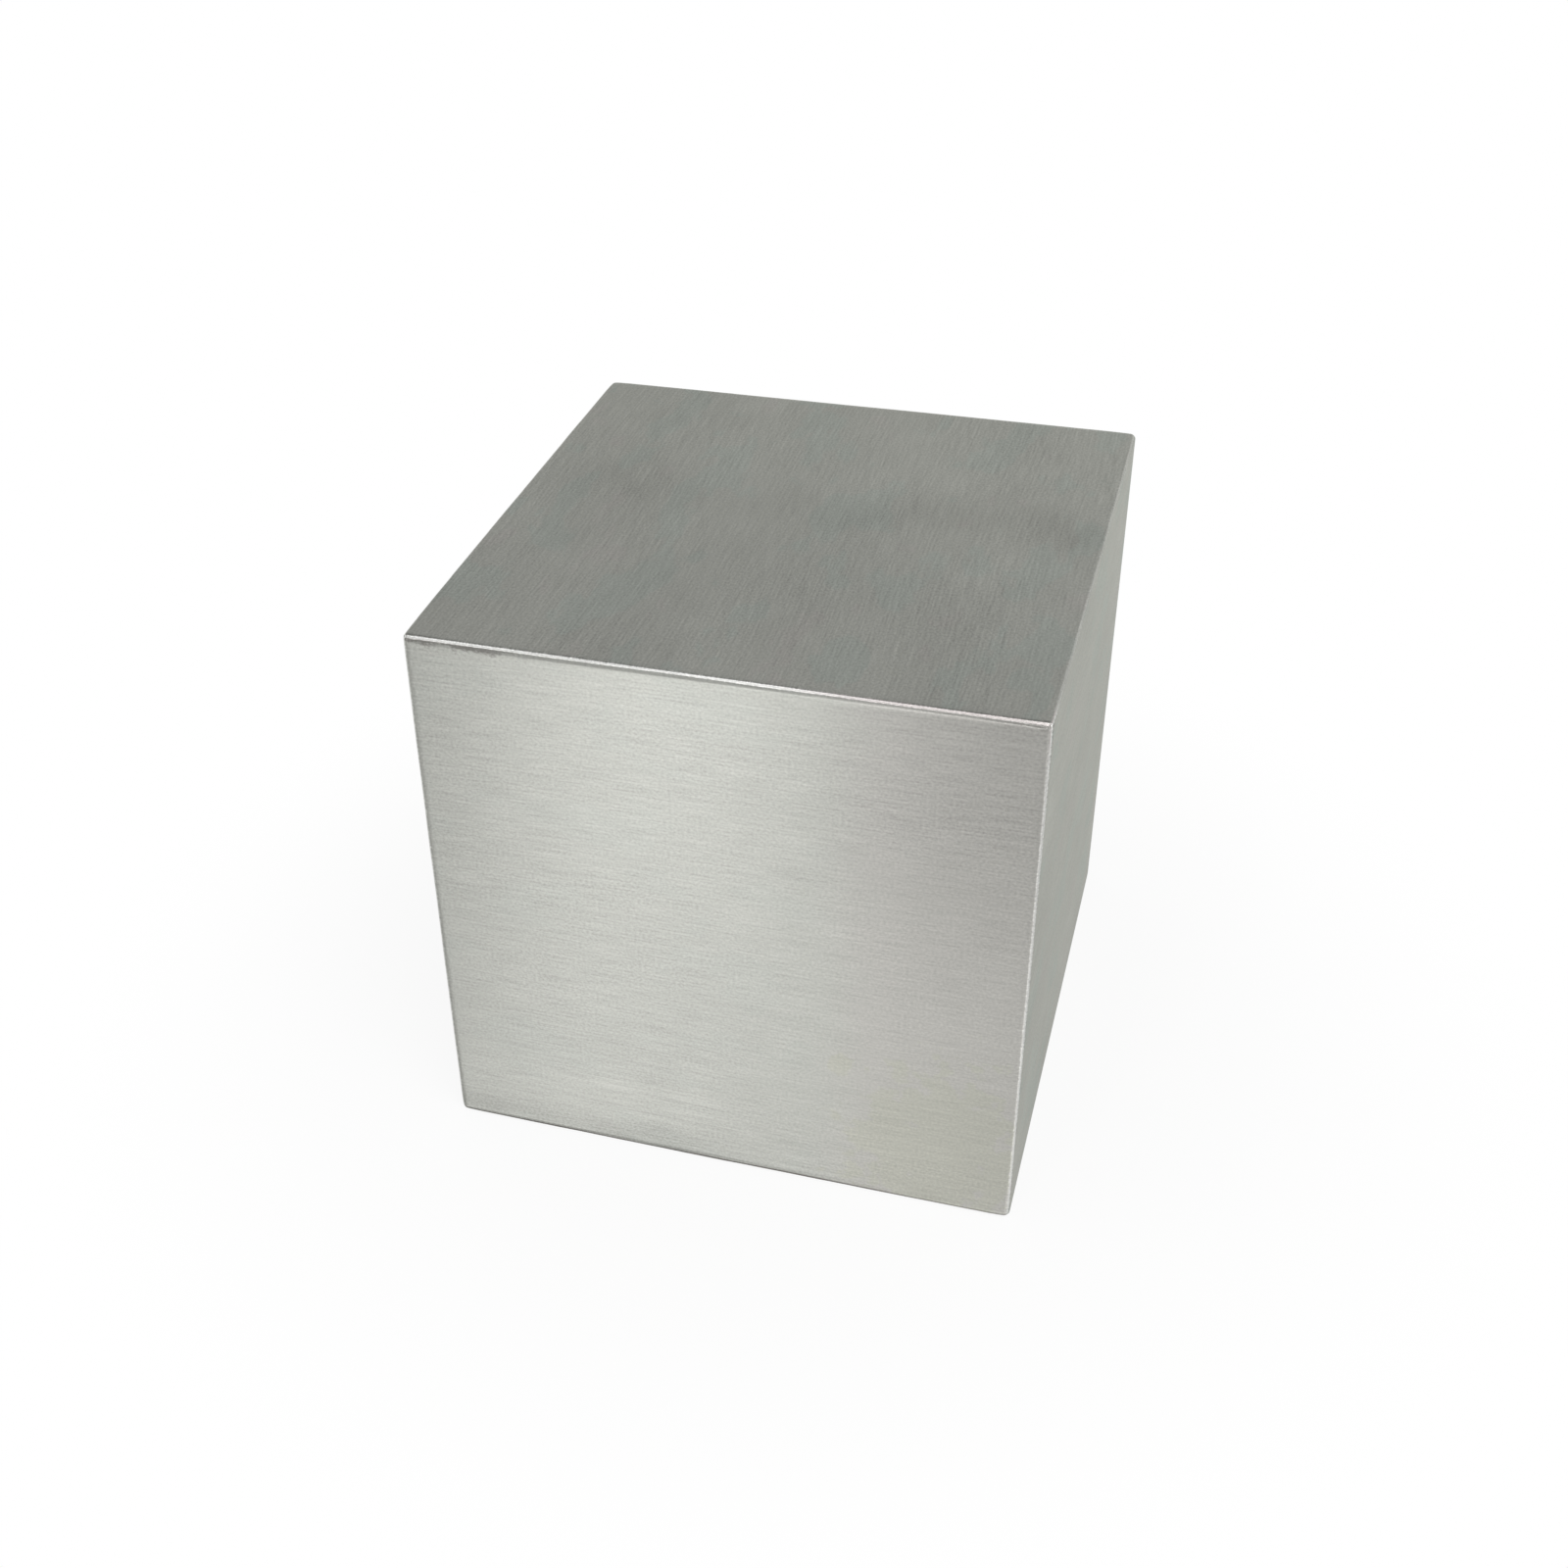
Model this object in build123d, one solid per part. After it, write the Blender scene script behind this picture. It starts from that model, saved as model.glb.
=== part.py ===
from build123d import *
import os

# A solid magnesium cube, 2 in on a side: sawn from bar stock, sanded flat on all six faces,
# with its sharp edges broken by hand. One piece, with nothing fitted to it.
#
# Millimetres. The origin is the middle of the base. +Z is up, -Y is the front and +X the right.

# Driving dimensions. The three sides are equal on a cube, and each can be set by itself.
width = 50.8  # along X, from the left face to the right face
depth = 50.8  # along Y, from the front face to the back face
height = 50.8  # along Z, from the base to the top face
edge_radius = 0.4  # the rounding along all twelve edges, and of the balls at the eight corners


def magnesium_cube():
    """The block standing on its base, with every edge and corner rounded."""
    block = Box(width, depth, height, align=(Align.CENTER, Align.CENTER, Align.MIN))
    return fillet(block.edges(), edge_radius)


os.makedirs("parts", exist_ok=True)
export_step(magnesium_cube(), "parts/magnesium_cube.step")
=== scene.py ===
"""A solid magnesium cube with brushed faces and hand-broken edges, on a plain pale floor.

The cube is one block of metal. Its mesh is laid out round the box that the frame gives, its sanded finish
is worked out from a map that runs along the grain of each face, and the stage is a white table under soft
lamps. Lengths are in metres, +Z is up, -Y is the front and +X is the right.
"""

import math

import bmesh
import bpy
from bpy.props import FloatProperty, FloatVectorProperty, IntProperty, PointerProperty
from mathutils import Matrix, Vector, noise


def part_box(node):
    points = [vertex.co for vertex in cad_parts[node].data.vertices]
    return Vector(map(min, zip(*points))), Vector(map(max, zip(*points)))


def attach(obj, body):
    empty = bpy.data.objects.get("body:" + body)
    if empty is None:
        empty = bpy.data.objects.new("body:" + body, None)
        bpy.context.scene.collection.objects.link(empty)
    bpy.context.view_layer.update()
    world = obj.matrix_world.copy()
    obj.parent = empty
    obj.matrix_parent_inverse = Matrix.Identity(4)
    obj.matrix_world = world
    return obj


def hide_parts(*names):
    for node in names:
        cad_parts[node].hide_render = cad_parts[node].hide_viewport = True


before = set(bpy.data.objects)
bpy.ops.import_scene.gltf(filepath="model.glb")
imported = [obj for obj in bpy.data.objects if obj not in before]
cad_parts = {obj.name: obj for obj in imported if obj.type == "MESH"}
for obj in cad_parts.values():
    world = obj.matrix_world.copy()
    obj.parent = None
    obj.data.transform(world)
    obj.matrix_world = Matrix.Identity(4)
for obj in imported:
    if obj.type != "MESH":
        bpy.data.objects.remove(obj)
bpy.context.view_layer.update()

bl_info = {
    "name": "Magnesium Cube",
    "version": (1, 0, 0),
    "blender": (4, 5, 0),
    "location": "3D View > Sidebar > Magnesium Cube",
    "description": "Builds a brushed magnesium cube and the stage that it stands on",
    "category": "Object",
}

NODE = "magnesium_cube"
BODY = "root"
LOW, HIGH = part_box(NODE)
MIDDLE = (LOW + HIGH) / 2
HALF = (HIGH - LOW) / 2
SIDE = HIGH.z - LOW.z
MM = 0.001
HALF_SIDE = SIDE / 2 / MM  # in millimetres, as the grain map has it

# Each face of the block: its outward direction, the way its grain runs, and the way across the grain.
# Along x across gives outward, so that no face's map is mirrored.
FACES = {
    "front": ((0, -1, 0), (1, 0, 0), (0, 0, 1)),
    "right": ((1, 0, 0), (0, 1, 0), (0, 0, 1)),
    "back": ((0, 1, 0), (-1, 0, 0), (0, 0, 1)),
    "left": ((-1, 0, 0), (0, -1, 0), (0, 0, 1)),
    "top": ((0, 0, 1), (0, 1, 0), (-1, 0, 0)),
    "base": ((0, 0, -1), (0, 1, 0), (1, 0, 0)),
}
FACE_NUMBER = {name: number for number, name in enumerate(FACES)}
GRAIN_AXES = (1, 0, 1)  # the axis that the grain follows on the faces that look along x, y and z
GRAIN_MAP = "Grain"  # millimetres along and across the grain, each face in a range of its own
GRAIN_STEP = 200.0  # from one face's range to the next, in millimetres
BAKE_MAP = "OFBake"  # six strips side by side, each with its grain running across the strip
STRIP = 170 / 1024  # width of a strip of that map
STRIP_MARGIN = 2.2 / 1024  # left free at each side of a strip
STRIP_HALF_HEIGHT = 0.497  # each strip nearly fills the map's height


# ---------------------------------------------------------------- settings


class CubeBlockSettings(bpy.types.PropertyGroup):
    """Sizes of the block's broken edges. The sides come from the frame."""

    edge_break: FloatProperty(
        name="Edge break",
        description="Rounding of an edge at the middle of its length",
        default=0.22 * MM, min=0, unit="LENGTH", precision=5)
    end_break: FloatProperty(
        name="Edge break at the ends",
        description="Rounding of an edge beside a corner, where the hand bears harder",
        default=0.33 * MM, min=0, unit="LENGTH", precision=5)
    corner_break: FloatProperty(
        name="Corner break",
        description="Rounding of the eight corners",
        default=0.55 * MM, min=0, unit="LENGTH", precision=5)
    unevenness: FloatProperty(
        name="Unevenness",
        description="How much the rounding changes along an edge, as a share of itself",
        default=0.3, min=0, max=1, subtype="FACTOR")
    shoulder_width: FloatProperty(
        name="Shoulder width",
        description="How far in from an edge the sanding strokes have rolled a face over",
        default=0.62 * MM, min=0, unit="LENGTH", precision=5)
    shoulder_depth: FloatProperty(
        name="Shoulder depth",
        description="How far a face has dropped at its very edge, at the ends of its grain",
        default=0.045 * MM, min=0, unit="LENGTH", precision=6)
    side_share: FloatProperty(
        name="Shoulder at the sides",
        description="Depth of the shoulder on the edges beside the grain, as a share of the depth",
        default=0.25, min=0, max=1, subtype="FACTOR")
    cells: IntProperty(
        name="Cells",
        description="Mesh cells across the flat part of each face",
        default=52, min=4, max=120)


class BrushedMetalSettings(bpy.types.PropertyGroup):
    """Colours and finish of the brushed metal."""

    metal: FloatVectorProperty(
        name="Metal",
        description="Colour of the sanded metal",
        default=(0.406, 0.410, 0.382), min=0, max=1, size=3, subtype="COLOR")
    glancing: FloatVectorProperty(
        name="Glancing tint",
        description="Tint of the metal where it is seen nearly edge on",
        default=(0.835, 0.845, 0.80), min=0, max=1, size=3, subtype="COLOR")
    # Rubbed edges, partly a painted highlight.
    burnished_and_highlight: FloatVectorProperty(
        name="Burnished edge",
        description="Colour of the metal where the edges have been rubbed bright",
        default=(0.76, 0.76, 0.74), min=0, max=1, size=3, subtype="COLOR")
    rosy: FloatVectorProperty(
        name="Rosy edge",
        description="Colour of the rubbed edge at the top right of the front, which has tarnished a little",
        default=(0.60, 0.56, 0.55), min=0, max=1, size=3, subtype="COLOR")
    tarnish: FloatVectorProperty(
        name="Tarnish",
        description="Colour of the faint yellow stain",
        default=(0.408, 0.409, 0.363), min=0, max=1, size=3, subtype="COLOR")
    green_film: FloatVectorProperty(
        name="Green film",
        description="Colour of the metal under patches of the thinnest oxide",
        default=(0.391, 0.411, 0.383), min=0, max=1, size=3, subtype="COLOR")
    violet_film: FloatVectorProperty(
        name="Violet film",
        description="Colour of the metal under a slightly thicker oxide",
        default=(0.413, 0.407, 0.384), min=0, max=1, size=3, subtype="COLOR")
    # Painted shade beside the rubbed edge and along the base.
    painted_shade: FloatVectorProperty(
        name="Painted shade",
        description="Colour of the dull line beside the rubbed edge",
        default=(0.165, 0.150, 0.140), min=0, max=1, size=3, subtype="COLOR")
    grain_strength: FloatProperty(
        name="Grain strength",
        description="How much lighter and darker the sanding lines are than the metal between them",
        default=1.0, min=0, max=3, subtype="FACTOR")
    roughness: FloatProperty(
        name="Roughness",
        description="Roughness of the sanded faces",
        default=0.42, min=0, max=1, subtype="FACTOR")
    anisotropy: FloatProperty(
        name="Anisotropy",
        description="How much the grain stretches reflections across itself",
        default=1.0, min=0, max=1, subtype="FACTOR")
    groove_depth: FloatProperty(
        name="Groove depth",
        description="Height of the sanding lines",
        default=0.004 * MM, min=0, unit="LENGTH", precision=7)


class StageSettings(bpy.types.PropertyGroup):
    """The floor, the lamps and the camera."""

    floor: FloatVectorProperty(
        name="Floor",
        description="Colour of the table",
        default=(0.86, 0.86, 0.86), min=0, max=1, size=3, subtype="COLOR")
    floor_glow: FloatProperty(
        name="Floor glow",
        description="Share of plain white in the floor as it is seen, which thins the shadows on it",
        default=0.87, min=0, max=1, subtype="FACTOR")
    horizon: FloatVectorProperty(
        name="Horizon",
        description="Colour of the surroundings low down",
        default=(1.0, 1.0, 1.0), min=0, max=1, size=3, subtype="COLOR")
    front_wall: FloatVectorProperty(
        name="Front wall",
        description="Colour of the surroundings in front of the cube, above the horizon",
        default=(0.80, 0.80, 0.80), min=0, max=1, size=3, subtype="COLOR")
    back_wall: FloatVectorProperty(
        name="Back wall",
        description="Colour of the surroundings behind the cube, which the top face shows",
        default=(0.68, 0.68, 0.68), min=0, max=1, size=3, subtype="COLOR")
    ceiling: FloatVectorProperty(
        name="Ceiling",
        description="Colour of the surroundings overhead",
        default=(0.35, 0.35, 0.35), min=0, max=1, size=3, subtype="COLOR")
    window_power: FloatProperty(
        name="Window",
        description="Power of the tall narrow lamp at the front left, which makes the band on the front",
        default=1.6, min=0, unit="POWER")
    fill_power: FloatProperty(
        name="Fill lamp",
        description="Power of the broad lamp above the right",
        default=3.6, min=0, unit="POWER")
    lens: FloatProperty(
        name="Lens",
        description="Focal length of the camera",
        default=44.91, min=1, unit="CAMERA")


# ---------------------------------------------------------------- shader building


class Value:
    """A shader socket for use in expressions: each operator adds the Math node that it needs."""

    def __init__(self, shader, socket):
        self.shader = shader
        self.socket = socket

    def _math(self, operation, a, b=None):
        inputs = [a] if b is None else [a, b]
        return self.shader.add("ShaderNodeMath", {"operation": operation}, inputs)

    def __add__(self, other):
        return self._math("ADD", self, other)

    def __radd__(self, other):
        return self._math("ADD", other, self)

    def __sub__(self, other):
        return self._math("SUBTRACT", self, other)

    def __rsub__(self, other):
        return self._math("SUBTRACT", other, self)

    def __mul__(self, other):
        return self._math("MULTIPLY", self, other)

    def __rmul__(self, other):
        return self._math("MULTIPLY", other, self)

    def __truediv__(self, other):
        return self._math("DIVIDE", self, other)

    def __abs__(self):
        return self._math("ABSOLUTE", self)

    def output(self, key):
        """Another output of the same node."""
        return Value(self.shader, self.socket.node.outputs[key])

    def above(self, other):
        """The larger of the two."""
        return self._math("MAXIMUM", self, other)

    def below(self, other):
        """The smaller of the two."""
        return self._math("MINIMUM", self, other)


class Shader:
    """The node tree of one material or world, and the few ways in which nodes are added to it."""

    def __init__(self, owner):
        owner.use_nodes = True
        self.tree = owner.node_tree
        self.tree.nodes.clear()

    def add(self, kind, settings=None, inputs=(), output=0):
        """Adds a node, sets its settings and then its sockets, and returns an output if it has any."""
        node = self.tree.nodes.new(kind)
        for name, setting in (settings or {}).items():
            setattr(node, name, setting)
        pairs = inputs.items() if isinstance(inputs, dict) else enumerate(inputs)
        for key, value in pairs:
            if isinstance(value, Value):
                self.tree.links.new(value.socket, node.inputs[key])
            else:
                node.inputs[key].default_value = value
        return Value(self, node.outputs[output]) if len(node.outputs) else None

    def mix(self, factor, a, b):
        """Blends two colours by a factor."""
        a, b = (colour if isinstance(colour, Value) else (*colour, 1) for colour in (a, b))
        return self.add("ShaderNodeMix", {"data_type": "RGBA"}, {0: factor, 6: a, 7: b}, output=2)

    def split(self, vector):
        """The three parts of a vector."""
        parts = self.add("ShaderNodeSeparateXYZ", None, [vector])
        return [parts.output(axis) for axis in range(3)]

    def join(self, x, y, z=0.0):
        """A vector from its parts."""
        return self.add("ShaderNodeCombineXYZ", None, [x, y, z])

    def noise(self, vector, detail=2.0, roughness=0.5):
        """Smooth noise either side of 0, by up to 0.5, with features about 1 unit of the vector across."""
        return self.add("ShaderNodeTexNoise", {"noise_dimensions": "3D"},
                        {"Vector": vector, "Scale": 1.0, "Detail": detail, "Roughness": roughness}) - 0.5

    def length(self, vector):
        """The length of a vector."""
        return self.add("ShaderNodeVectorMath", {"operation": "LENGTH"}, [vector], output=1)

    def ramp(self, value, low, high):
        """0 below low, 1 above high, and a smooth step between them."""
        return self.add("ShaderNodeMapRange", {"interpolation_type": "SMOOTHSTEP"},
                        {"Value": value, "From Min": low, "From Max": high, "To Min": 0.0, "To Max": 1.0})


# ---------------------------------------------------------------- the brushed metal


class Place:
    """A place on the block as the shader knows it: its face, and millimetres along and across the grain
    from the middle of that face."""

    def __init__(self, shader):
        self.shader = shader
        self.masks = {}
        self.along, self.stacked, _ = shader.split(shader.add("ShaderNodeUVMap", {"uv_map": GRAIN_MAP}))

        # Each face has a range of its own across the grain, so the range's number tells the faces apart.
        self.face = shader.add("ShaderNodeMath", {"operation": "ROUND"}, [self.stacked / GRAIN_STEP])
        self.across = self.stacked - self.face * GRAIN_STEP

        # Strokes of sanding by hand aren't quite straight: they lean a little, and less so on the front.
        lean = self.field(0.030, 0.05, detail=0.0, straight=True)
        self.line = self.stacked + lean * (2.4 - self.on("front") * 1.4)

    def on(self, name):
        """1 on the named face and 0 on the others."""
        if name not in self.masks:
            self.masks[name] = self.shader.ramp(abs(self.face - FACE_NUMBER[name]), 0.6, 0.4)
        return self.masks[name]

    def field(self, along, across, apart=0.0, detail=2.0, roughness=0.5, straight=False):
        """Noise with so many features per millimetre along and across the grain. It follows the lean of the
        strokes unless it is straight. Fields that are set apart differ from each other."""
        run = self.stacked if straight else self.line
        spot = self.shader.join(self.along * along, run * across, apart)
        return self.shader.noise(spot, detail, roughness)

    def distance(self, along, across, per_along, per_across):
        """Distance from a place on the front, as a share of a reach that differs along and across."""
        return self.shader.length(self.shader.join((self.along - along) * per_along,
                                                   (self.stacked - across) * per_across))


class Sanding:
    """The sanding lines, from the finest to the broadest, and the slower changes from place to place."""

    def __init__(self, place):
        self.strokes = place.field(0.24, 5.6, detail=1.5, roughness=0.6)
        self.dashes = place.field(4.0, 4.8, apart=13.0, detail=1.0)
        self.streaks = place.field(0.07, 1.9, apart=7.0)
        self.bands = place.field(0.035, 0.30, apart=19.0, detail=1.5)
        self.pressure = 1.0 + place.field(0.05, 0.10, apart=83.0, detail=1.0) * 0.8
        spot = place.shader.join(place.along * 0.06, place.across * 0.09, place.face * 7.0 + 31.0)
        self.cloud = place.shader.noise(spot, detail=2.5)


def sanded_shade(place, sanding, strength):
    """How light or dark sanding leaves the metal, round 1. Some places took a harder stroke than others."""
    coarseness = 1.0 + place.on("top") * 0.3 + place.on("right") * 0.45 + place.on("front") * 0.1
    grain = (sanding.strokes * 0.38 + sanding.dashes * 0.45 + sanding.streaks * 0.11) * coarseness
    cloudiness = 0.21 - place.on("front") * 0.11 + place.on("right") * 0.07 + place.on("top") * 0.13
    return 1.0 + grain * sanding.pressure * strength + sanding.bands * 0.06 + sanding.cloud * cloudiness


def front_painted_sheen_and_marks(place, sanding):
    """Painted sheen: the front is painted brighter towards its lower right and a little darker at its lower
    left, standing in for light that a bright table in front would reflect onto it. A darker strip lies
    along the left half of its base, with brighter strokes above it."""
    shader = place.shader
    low = shader.ramp(place.across, 22.0, -10.0)
    # Painted sheen: lighter towards the lower right of the front, darker at its lower left.
    painted_sheen = low * (shader.ramp(place.along, -6.0, 22.0) * 0.30 - 0.045)
    height = HALF_SIDE + place.across + sanding.bands * 1.6 + sanding.cloud * 1.6
    dull = shader.ramp(height, 3.2, 1.5) * shader.ramp(place.along, 6.0, -6.0)
    from_strokes = shader.length(shader.join((place.along + 7.0) * 0.085, (height - 6.0) * 0.28))
    bright_strokes = shader.ramp(from_strokes, 1.0, 0.3) * (sanding.streaks * 0.30 + 0.04)
    return (painted_sheen - dull * 0.12 + bright_strokes) * place.on("front")


def top_painted_reflection(place):
    """Painted reflection: a soft dark wave, painted where the top would reflect a darker band of the
    surroundings, crosses the top from side to side, and fades towards the left.
    """
    shader = place.shader
    sway = shader.noise(shader.join(place.across * 0.055, 4.4, 91.0), detail=2.5) * 15.0
    wave = shader.ramp(abs(place.along - 4.0 + sway), 5.4, 0.2)
    return wave * shader.ramp(place.across, 40.0, -12.0) * place.on("top") * -0.07


def filmed_metal(place, look):
    """The metal under very thin oxide, which gives patches of faint green and violet. They are fainter on
    the front, where a violet film covers the right third."""
    shader = place.shader
    tint = place.field(0.09, 0.16, apart=57.0, detail=3.0, roughness=0.6, straight=True)
    patchiness = 1.0 - place.on("front") * 0.85
    green = shader.ramp(tint, 0.035, 0.075) * patchiness
    right_third = shader.ramp(place.along + tint * 8.0, 7.0, 14.0) * place.on("front")
    violet = (shader.ramp(tint, -0.10, -0.16) * patchiness).above(right_third)
    metal = shader.mix(green, tuple(look.metal), tuple(look.green_film))
    return shader.mix(violet, metal, tuple(look.violet_film))


def stain_mask(place):
    """A ragged stain at the lower right of the front, and a spot up and to the left of it."""
    ragged = place.field(0.38, 0.44, apart=71.0, detail=3.0, roughness=0.65, straight=True) * 2.6
    stain = place.distance(19.0, -19.0, per_along=0.115, per_across=0.095)
    spot = place.distance(10.2, -11.2, per_along=0.80, per_across=0.70)
    return place.shader.ramp(stain.below(spot) + ragged, 0.95, 0.72)


def top_edge_mask(place):
    """The edge that the front shares with the top, from both sides."""
    on_front = place.shader.ramp(place.across, 22.0, 24.0) * place.on("front")
    return on_front + place.shader.ramp(place.along, -22.0, -24.0) * place.on("top")


def rubbed_and_highlight_mask(place, sanding, top_edge):
    """A lighter band on the rounding of every edge, a little ragged: partly metal rubbed bare and partly a
    painted highlight. The front's top edge is lightest, its left and right edges less so, and the other
    edges are duller."""
    shader = place.shader
    near_start = shader.ramp(place.along, -22.0, -24.0)
    near_end = shader.ramp(place.along, 22.0, 24.0)
    right_edge = near_end * place.on("front") + near_start * place.on("right")
    left_edge = near_start * place.on("front") + near_end * place.on("left")
    lightening = 0.30 + top_edge.above(right_edge * 0.55).above(left_edge * 0.90) * 0.60
    reach = abs(place.along).above(abs(place.across)) + sanding.streaks * 0.20 + sanding.dashes * 0.12
    return shader.ramp(reach, HALF_SIDE - 0.27, HALF_SIDE - 0.10) * lightening


def painted_shade_mask(place, sanding):
    """Painted shade: a ragged dark line is painted under the front's top edge in place of a dark reflection
    there, more of it at the left end than at the right, and painted shade runs all along the edge that the
    front shares with the base, where that rounding faces the cube's shadow on the table."""
    shader = place.shader
    gap = HALF_SIDE - place.across
    ragged = place.field(0.75, 1.1, apart=43.0, detail=2.5, straight=True) * 1.5 + sanding.dashes * 0.6
    line = shader.ramp(gap, 0.15, 0.25) * shader.ramp(gap + ragged, 0.84, 0.40)
    left_end = shader.ramp(sanding.bands * 8.0 - place.along, HALF_SIDE - 13.0, HALF_SIDE - 6.0)
    right_end = shader.ramp(sanding.bands * 8.0 + place.along, HALF_SIDE - 10.0, HALF_SIDE - 1.0) * 0.55
    foot = shader.ramp(HALF_SIDE + place.across + sanding.streaks * 0.5, 0.50, 0.20) * 0.95
    under = shader.ramp(HALF_SIDE + place.along, 0.60, 0.40) * 0.95
    on_front = (line * left_end.above(right_end) * 0.65).above(foot) * place.on("front")
    return on_front.above(under * place.on("base"))


def brushed_metal(look):
    """Sanded magnesium, with thin oxide, a stain and rubbed edges, and painted light: a highlight on the
    rubbed edges, painted shade along the front's top edge and base, a painted sheen on the front and a
    painted reflection on the top.
    """
    material = bpy.data.materials.new("brushed magnesium")
    shader = Shader(material)
    place = Place(shader)
    sanding = Sanding(place)
    stain = stain_mask(place)
    top_edge = top_edge_mask(place)
    rubbed = rubbed_and_highlight_mask(place, sanding, top_edge)
    painted_shade = painted_shade_mask(place, sanding)

    # The rubbed edges carry a painted highlight, with a rosy tint at the top right of the front.
    rightward = place.along * place.on("front") - place.across * place.on("top")
    rosiness = shader.ramp(rightward, 2.0, 14.0) * top_edge
    burnished_and_highlight = shader.mix(rosiness, tuple(look.burnished_and_highlight), tuple(look.rosy))
    colour = shader.mix(stain * 0.9, filmed_metal(place, look), tuple(look.tarnish))
    colour = shader.mix(rubbed, colour, burnished_and_highlight)
    # Painted shade: a dark line under the front's top edge and along its base.
    colour = shader.mix(painted_shade * 0.85, colour, tuple(look.painted_shade))
    shade = sanded_shade(place, sanding, look.grain_strength)
    # The front's painted sheen and the top's painted reflection.
    shade = shade + front_painted_sheen_and_marks(place, sanding) + top_painted_reflection(place)
    colour = shader.add("ShaderNodeVectorMath", {"operation": "MULTIPLY"},
                        [colour, shader.join(shade, shade, shade)])

    rough = look.roughness + sanding.streaks * 0.05 + sanding.cloud * 0.05
    rough = rough - rubbed * 0.08 + stain * 0.02 + painted_shade * 0.06
    height = sanding.strokes + sanding.streaks * 1.2 + sanding.dashes * 0.6
    grooves = shader.add("ShaderNodeBump", None,
                         {"Strength": 1.0, "Distance": look.groove_depth, "Height": height})
    surface = shader.add("ShaderNodeBsdfPrincipled", None, {
        "Base Color": colour, "Metallic": 1.0, "Roughness": rough, "Normal": grooves,
        "Specular Tint": (*look.glancing, 1),
        "Anisotropic": look.anisotropy, "Anisotropic Rotation": 0.25})  # a quarter turn: across the grain
    shader.add("ShaderNodeOutputMaterial", None, {"Surface": surface})
    return material


# ---------------------------------------------------------------- the block


def stations(half, sizes):
    """Places along one side, from -half to half: close over the rounding and the shoulder, then even."""
    over_rounding = [0.0, 0.08, 0.17, 0.27, 0.38, 0.50, 0.64, 0.80, 1.0]
    over_shoulder = [0.25, 0.5, 0.75, 1.0, 1.8]
    shoulder = sizes.shoulder_width - sizes.end_break
    near = [share * sizes.end_break for share in over_rounding]
    near += [sizes.end_break + share * shoulder for share in over_shoulder]
    inner = half - near[-1]
    flat = [-inner + 2 * inner * cell / sizes.cells for cell in range(1, sizes.cells)]
    return [step - half for step in near] + flat + [half - step for step in reversed(near)]


def unevenness(place, per_mm, apart):
    """Noise between -1 and 1 on the block, with so many features per millimetre."""
    return noise.noise(place * (per_mm / MM) + Vector(apart))


def break_at(place, sizes):
    """Radius of the rounding near a place on the sharp box: uneven, and larger towards the corners."""
    run = min(abs(place[axis]) / HALF[axis] for axis in range(3))
    radius = sizes.edge_break + (sizes.end_break - sizes.edge_break) * run ** 3
    slow = unevenness(place, 0.14, (3.1, 1.7, 8.3))
    quick = unevenness(place, 0.9, (11.3, 5.9, 2.2))
    radius *= 1 + sizes.unevenness * (slow + 0.35 * quick)
    to_corner = (1 - run) * min(HALF)
    corner_reach = 1.6 * MM
    near = max(0.0, 1 - to_corner / corner_reach) ** 2
    return radius + (sizes.corner_break - radius) * near


def rolled(place, sizes):
    """How far each coordinate draws in at a place on the sharp box, where sanding rolled the faces over.
    A stroke wears a face down most where it runs off its end, so the ends of the grain drop furthest."""
    depth = sizes.shoulder_depth * (1 + 0.7 * unevenness(place, 0.1, (21.0, 4.0, 9.0)))
    gap = [HALF[axis] - abs(place[axis]) for axis in range(3)]
    fall = [max(0.0, 1 - g / sizes.shoulder_width) ** 2 for g in gap]
    drawn = Vector((0, 0, 0))
    for axis, grain_axis in enumerate(GRAIN_AXES):
        shares = [fall[other] * (1.0 if other == grain_axis else sizes.side_share)
                  for other in range(3) if other != axis]
        drawn[axis] = -math.copysign(depth * fall[axis] * max(shares), place[axis])
    return drawn


def broken_edge(place, sizes):
    """Moves a place on the sharp box, measured from its middle, to the rounded and rolled surface."""
    radius = break_at(place, sizes)
    core = Vector([max(-(HALF[a] - radius), min(HALF[a] - radius, place[a])) for a in range(3)])
    out = place - core
    return core + out.normalized() * radius + rolled(place, sizes)


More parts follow.
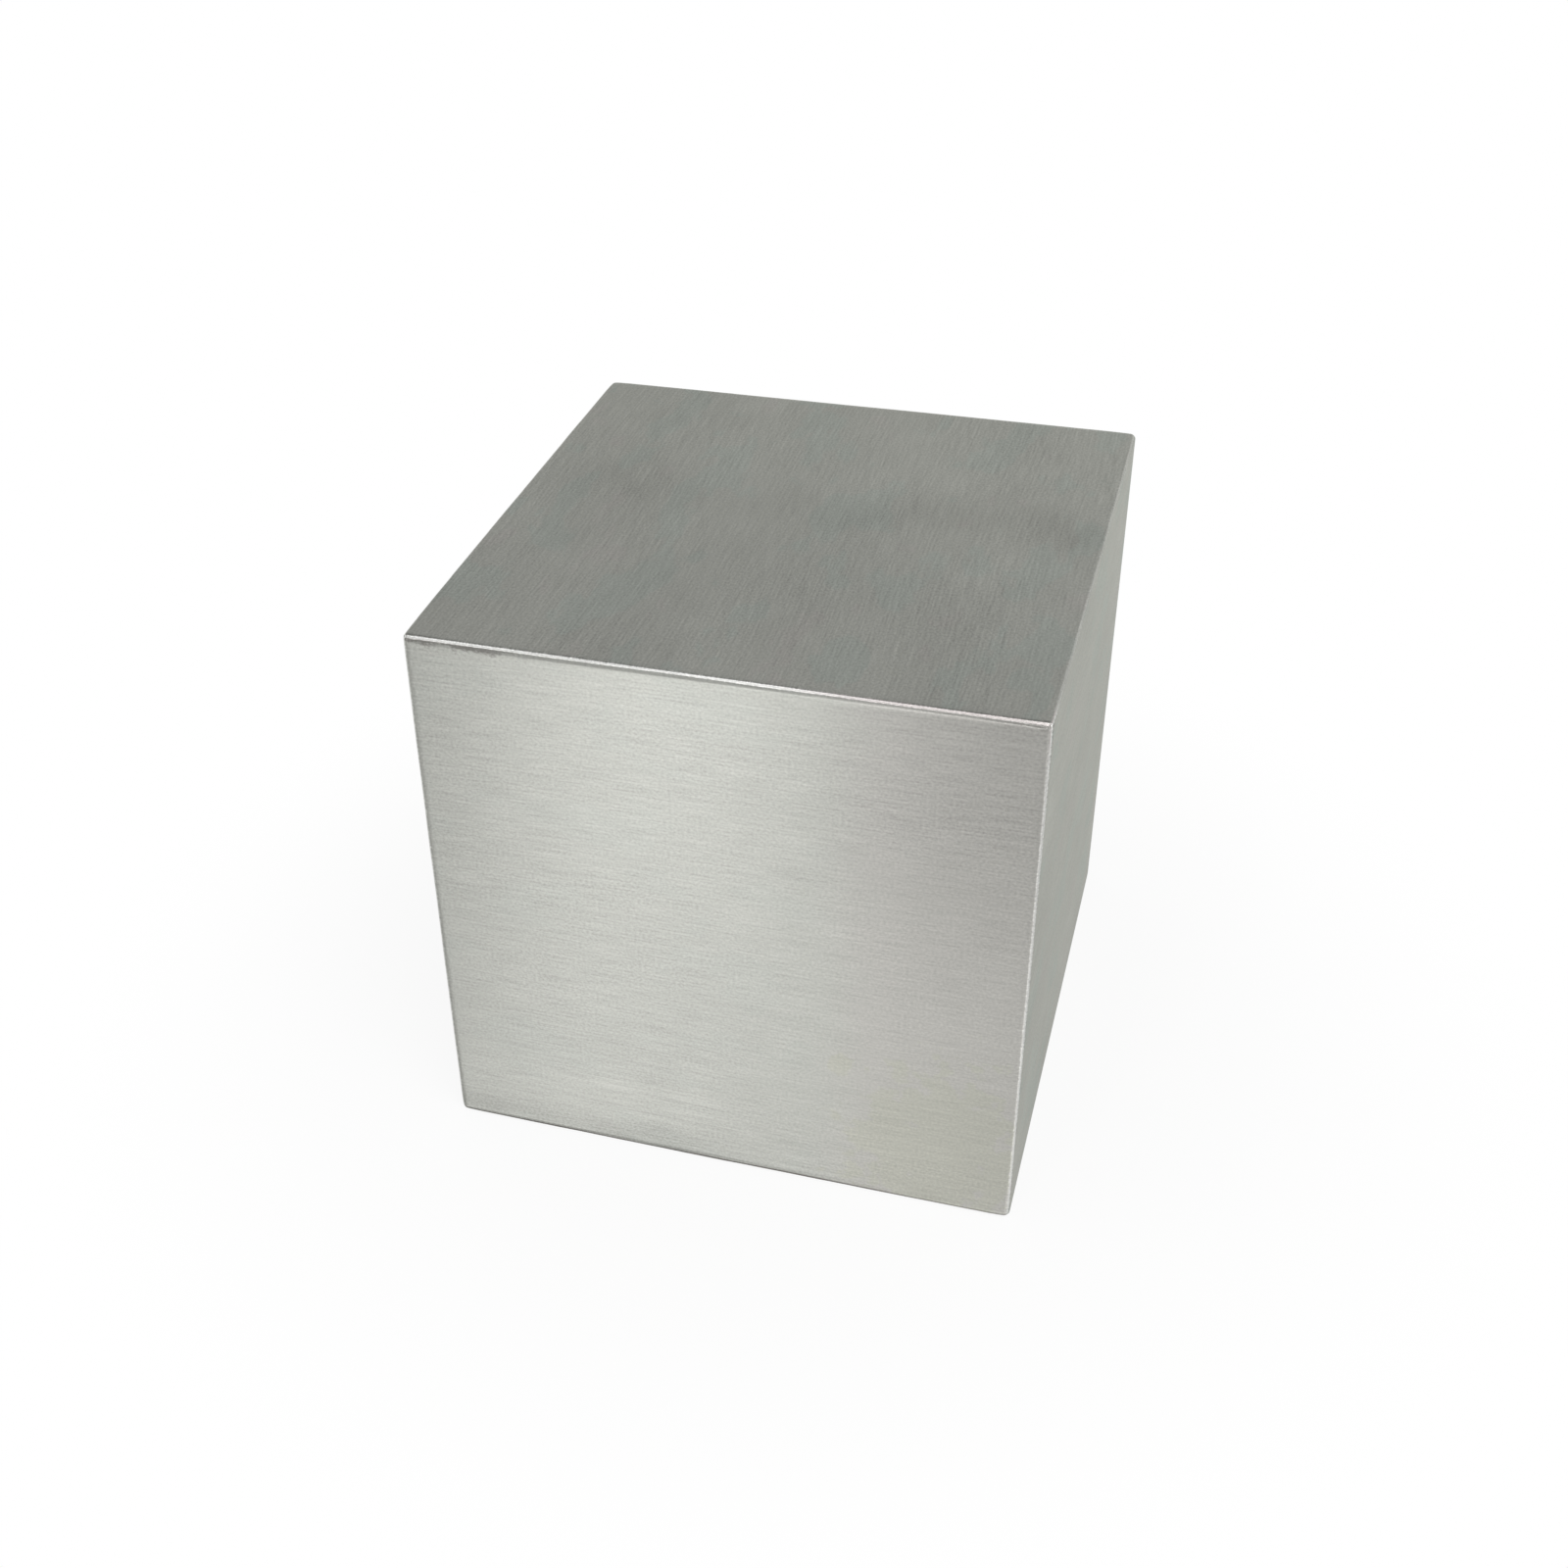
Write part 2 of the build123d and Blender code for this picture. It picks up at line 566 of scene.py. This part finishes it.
def block_mesh(sizes):
    """The whole block as one closed mesh, with its two maps."""
    mesh = bpy.data.meshes.new("magnesium block")
    shape = bmesh.new()
    grain_map = shape.loops.layers.uv.new(GRAIN_MAP)
    bake_map = shape.loops.layers.uv.new(BAKE_MAP)
    made = {}

    def corner(place):
        """The vertex for a place on the sharp box, which faces that meet there share."""
        key = tuple(round(c / MM, 4) for c in place)
        if key not in made:
            made[key] = shape.verts.new(MIDDLE + broken_edge(place, sizes))
        return made[key]

    for number, ways in enumerate(FACES.values()):
        outward, grain, across = (Vector(way) for way in ways)
        half_out, half_grain, half_across = (abs(way.dot(HALF)) for way in (outward, grain, across))
        strip_middle = (number + 0.5) * STRIP
        strip_reach = STRIP / 2 - STRIP_MARGIN
        columns = stations(half_grain, sizes)
        rows = stations(half_across, sizes)
        for left, right in zip(columns, columns[1:]):
            for low, high in zip(rows, rows[1:]):
                ring = [(left, low), (right, low), (right, high), (left, high)]
                corners = [corner(outward * half_out + grain * u + across * v) for u, v in ring]
                face = shape.faces.new(corners)
                face.smooth = True
                for loop, (u, v) in zip(face.loops, ring):
                    loop[grain_map].uv = (u / MM, v / MM + GRAIN_STEP * number)
                    loop[bake_map].uv = (strip_middle + u / half_grain * strip_reach,
                                         0.5 + v / half_across * STRIP_HALF_HEIGHT)
    shape.normal_update()
    shape.to_mesh(mesh)
    shape.free()
    return mesh


def run_tangents_along_grain(mesh):
    """Sets the mesh's texture space far off to the left. A shader with anisotropy stretches reflections
    round the middle of that space, so from so far away the direction is nearly the same everywhere: along Y
    on the top and the sides. The space is also a little behind, so that the direction keeps a small part
    along X, which is the part that counts on the front and the back."""
    far = 5.0
    behind = 0.15
    mesh.use_auto_texspace = False
    mesh.texspace_location = (-far, behind, 0)
    mesh.texspace_size = (1, 1, 1)


class CUBE_OT_block(bpy.types.Operator):
    """Build the magnesium block with its broken edges and brushed finish"""

    bl_idname = "cube.block"
    bl_label = "Magnesium Block"

    def execute(self, context):
        mesh = block_mesh(context.scene.cube_block)
        if not mesh.polygons:
            raise RuntimeError("the block has no faces")
        run_tangents_along_grain(mesh)
        mesh.materials.append(brushed_metal(context.scene.cube_metal))
        block = bpy.data.objects.new("magnesium_block", mesh)
        context.scene.collection.objects.link(block)
        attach(block, BODY)
        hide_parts(NODE)
        return {"FINISHED"}


# ---------------------------------------------------------------- the stage


def floor_material(look):
    """A white table. Seen directly or in the metal it is mostly plain white, and the rest keeps the shadow
    of the cube. Further off it turns fully white, so that no line shows where it meets the surroundings."""
    material = bpy.data.materials.new("white table")
    shader = Shader(material)
    ray = shader.add("ShaderNodeLightPath")
    seen = ray.output("Is Camera Ray").above(ray.output("Is Glossy Ray"))
    seen = seen.above(ray.output("Is Transmission Ray"))
    table = shader.add("ShaderNodeBsdfDiffuse", None, {"Color": (*look.floor, 1)})
    glow = shader.add("ShaderNodeEmission", None, {"Color": (1, 1, 1, 1), "Strength": 1.0})
    from_middle = shader.length(shader.add("ShaderNodeNewGeometry"))
    fade = shader.ramp(from_middle, 0.6 * SIDE, 1.5 * SIDE)
    share = look.floor_glow + fade * (1.0 - look.floor_glow)
    surface = shader.add("ShaderNodeMixShader", None, [seen * share, table, glow])
    shader.add("ShaderNodeOutputMaterial", None, {"Surface": surface})
    return material


def surroundings(look):
    """A white horizon below grey walls and a darker ceiling, for the camera and for the metal alike."""
    world = bpy.data.worlds.new("surroundings")
    shader = Shader(world)
    _, back, up = shader.split(shader.add("ShaderNodeTexCoord"))
    wall = shader.mix(shader.ramp(back, -0.5, 0.3), tuple(look.front_wall), tuple(look.back_wall))
    colour = shader.mix(shader.ramp(up, 0.32, 0.46), tuple(look.horizon), wall)
    colour = shader.mix(shader.ramp(up, 0.66, 0.88), colour, tuple(look.ceiling))
    background = shader.add("ShaderNodeBackground", None, {"Color": colour, "Strength": 1.0})
    shader.add("ShaderNodeOutputWorld", None, {"Surface": background})
    return world


def lamp(name, azimuth, elevation, distance, width, height, power):
    """A soft rectangular lamp that faces the cube and that the camera doesn't see. Azimuth 0 is in front
    and positive is to the right."""
    light = bpy.data.lights.new(name, "AREA")
    light.shape = "RECTANGLE"
    light.size = width
    light.size_y = height
    light.energy = power
    lamp_object = bpy.data.objects.new(name, light)
    azimuth, elevation = math.radians(azimuth), math.radians(elevation)
    level = math.cos(elevation)
    way = Vector((math.sin(azimuth) * level, -math.cos(azimuth) * level, math.sin(elevation)))
    lamp_object.location = MIDDLE + way * distance
    lamp_object.rotation_euler = way.to_track_quat("Z", "Y").to_euler()
    lamp_object.visible_camera = False
    bpy.context.scene.collection.objects.link(lamp_object)


def camera_at(place, azimuth, tilt, roll, lens, shift):
    """A camera at a place given in cube sides from the middle of the base, turned by three angles."""
    data = bpy.data.cameras.new("camera")
    data.lens = lens
    data.sensor_width = 36.0
    data.shift_x = shift
    data.clip_start = 0.01
    azimuth, tilt, roll = (math.radians(angle) for angle in (azimuth, tilt, roll))
    level = math.cos(tilt)
    ahead = Vector((math.sin(azimuth) * level, math.cos(azimuth) * level, -math.sin(tilt)))
    sideways = ahead.cross(Vector((0, 0, 1))).normalized()
    upright = sideways.cross(ahead)
    right = sideways * math.cos(roll) + upright * math.sin(roll)
    up = upright * math.cos(roll) - sideways * math.sin(roll)
    camera = bpy.data.objects.new("camera", data)
    turn = Matrix((right, up, -ahead)).transposed().to_4x4()
    camera.matrix_world = Matrix.Translation(Vector(place) * SIDE) @ turn
    bpy.context.scene.collection.objects.link(camera)
    return camera


class CUBE_OT_stage(bpy.types.Operator):
    """Add the white table, the surroundings, the lamps and the camera"""

    bl_idname = "cube.stage"
    bl_label = "Stage"

    def execute(self, context):
        scene = context.scene
        look = scene.cube_stage
        mesh = bpy.data.meshes.new("table")
        reach = 12.0
        corners = [(-reach, -reach), (reach, -reach), (reach, reach), (-reach, reach)]
        mesh.from_pydata([(x, y, LOW.z) for x, y in corners], [], [(0, 1, 2, 3)])
        mesh.materials.append(floor_material(look))
        table = bpy.data.objects.new("table", mesh)
        scene.collection.objects.link(table)

        scene.world = surroundings(look)
        lamp("window", azimuth=-16, elevation=13, distance=0.9, width=0.18, height=0.38,
             power=look.window_power)
        lamp("fill", azimuth=40, elevation=50, distance=0.9, width=0.7, height=0.5,
             power=look.fill_power)
        scene.camera = camera_at((0.731, -2.8404, 2.5088), azimuth=-17.712, tilt=34.71, roll=-1.672,
                                 lens=look.lens, shift=0.05)
        scene.view_settings.view_transform = "Standard"
        return {"FINISHED"}


# ---------------------------------------------------------------- the add-on


class CUBE_PT_panel(bpy.types.Panel):
    """Lists the steps that build the cube and its stage"""

    bl_idname = "CUBE_PT_panel"
    bl_label = "Magnesium Cube"
    bl_space_type = "VIEW_3D"
    bl_region_type = "UI"
    bl_category = "Magnesium Cube"

    def draw(self, context):
        for step in STEPS:
            self.layout.operator(step.bl_idname)


STEPS = (CUBE_OT_block, CUBE_OT_stage)
SETTINGS = {
    "cube_block": CubeBlockSettings,
    "cube_metal": BrushedMetalSettings,
    "cube_stage": StageSettings,
}


def register():
    for item in (*SETTINGS.values(), *STEPS, CUBE_PT_panel):
        bpy.utils.register_class(item)
    for name, group in SETTINGS.items():
        setattr(bpy.types.Scene, name, PointerProperty(type=group))


def unregister():
    for name in SETTINGS:
        delattr(bpy.types.Scene, name)
    for item in reversed((*SETTINGS.values(), *STEPS, CUBE_PT_panel)):
        bpy.utils.unregister_class(item)


def main():
    """Builds everything in order."""
    register()
    bpy.ops.cube.block()
    bpy.ops.cube.stage()


if __name__ == "__main__":
    main()
